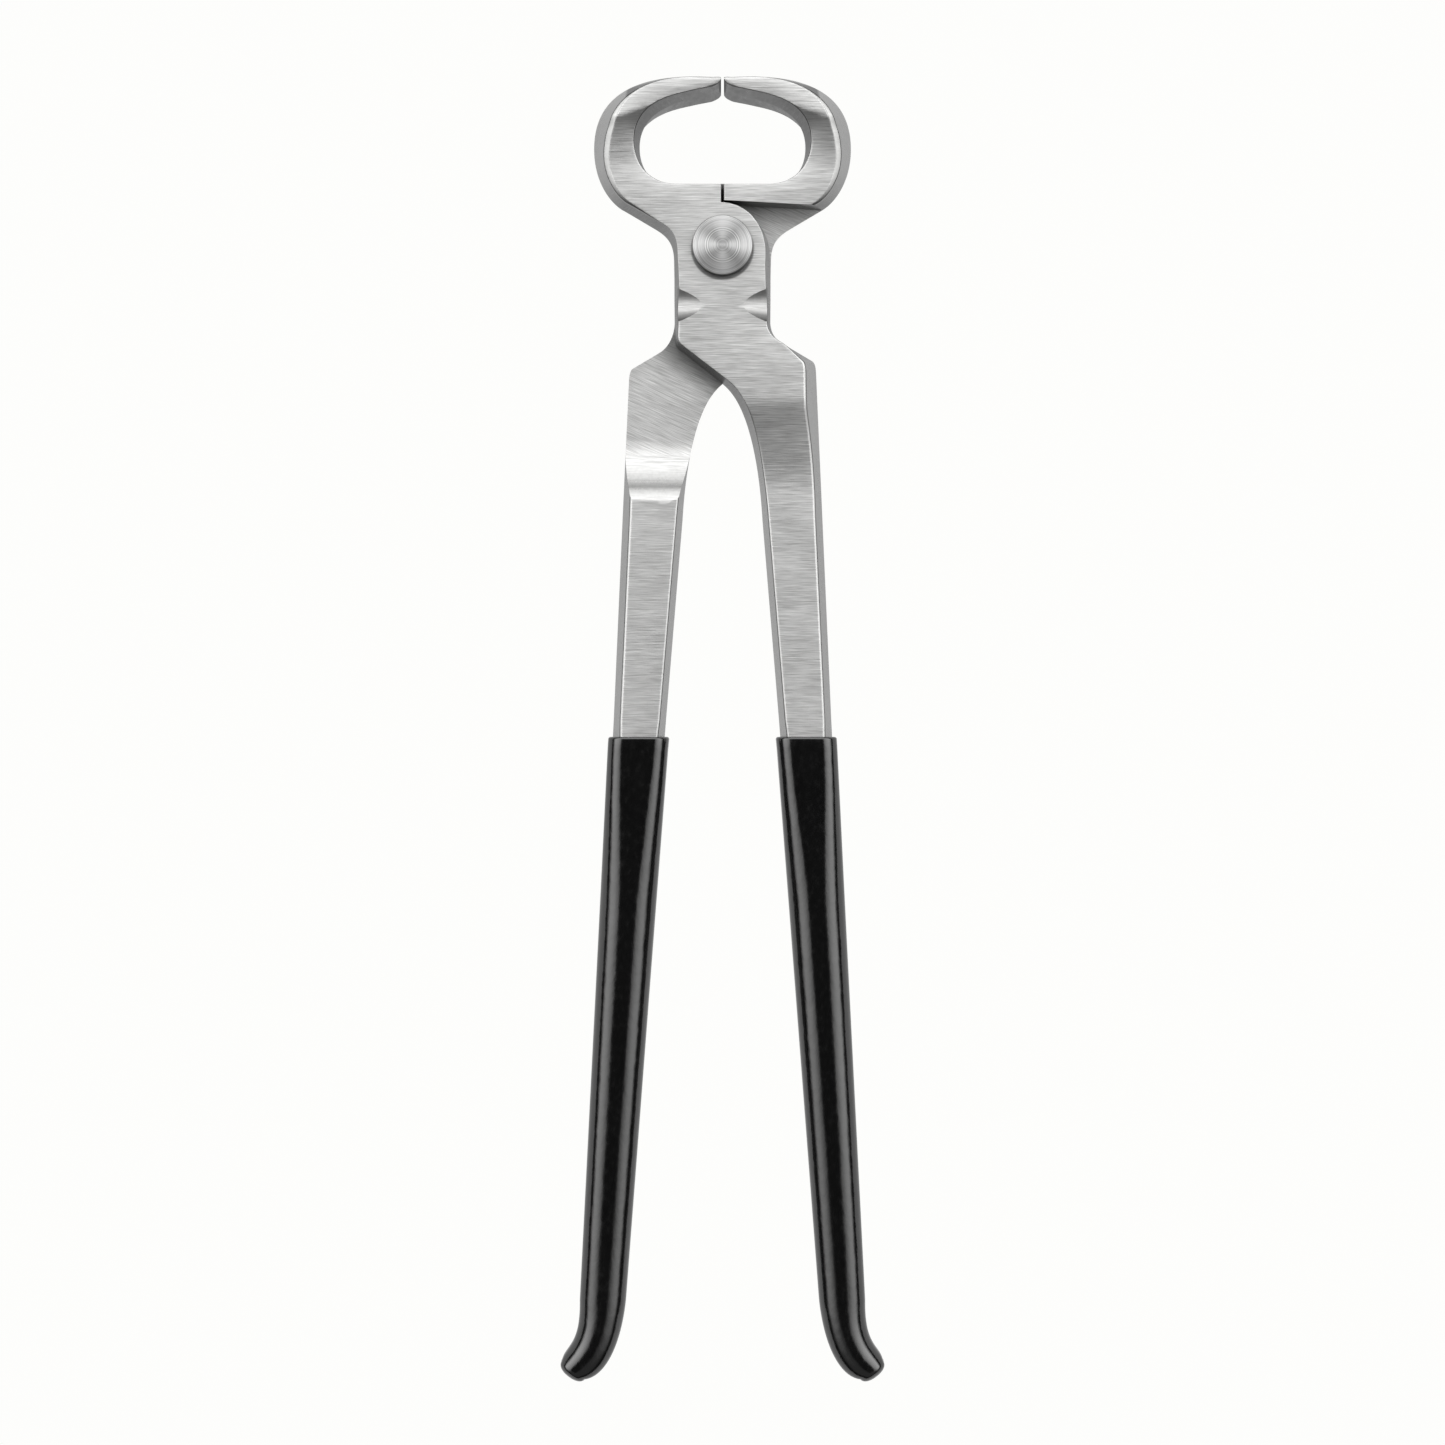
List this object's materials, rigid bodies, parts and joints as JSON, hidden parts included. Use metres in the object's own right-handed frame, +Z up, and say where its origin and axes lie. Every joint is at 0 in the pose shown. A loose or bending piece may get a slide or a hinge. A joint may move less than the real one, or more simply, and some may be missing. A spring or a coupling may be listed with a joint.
{
  "type": "hoof nipper",
  "caption": "Farrier's nipper: crossed forged halves turn on a rivet, with curved cutting jaws that meet edge to edge and long reins with black dipped grips.",
  "frame": {"origin": "on the pivot's axis, at the flat face of the rivet's rear head, which lies on the bench with the backs of the jaws", "axes": "+Z up out of the bench along the pivot's axis, +Y from the pivot towards the cutting edges, +X to the right across the tool seen from the front"},
  "size_m": [0.0882, 0.3554, 0.025],
  "materials": {
    "forged_steel": "forged tool steel, belt ground on its faces, lightly oiled",
    "turned_steel": "turned steel with fine concentric tool marks",
    "dipped_vinyl": "glossy black dipped vinyl"
  },
  "bodies": {
    "front": {"front_half": "forged_steel", "pivot_rivet": "turned_steel", "right_grip": "dipped_vinyl"},
    "rear": {"rear_half": "forged_steel", "left_grip": "dipped_vinyl"}
  },
  "joints": [
    {"name": "pivot", "type": "hinge", "parent": "front", "child": "rear", "pos_m": [0, 0, 0.0125], "axis": [0, 0, -1], "range_deg": [-0.9, 45]}
  ]
}
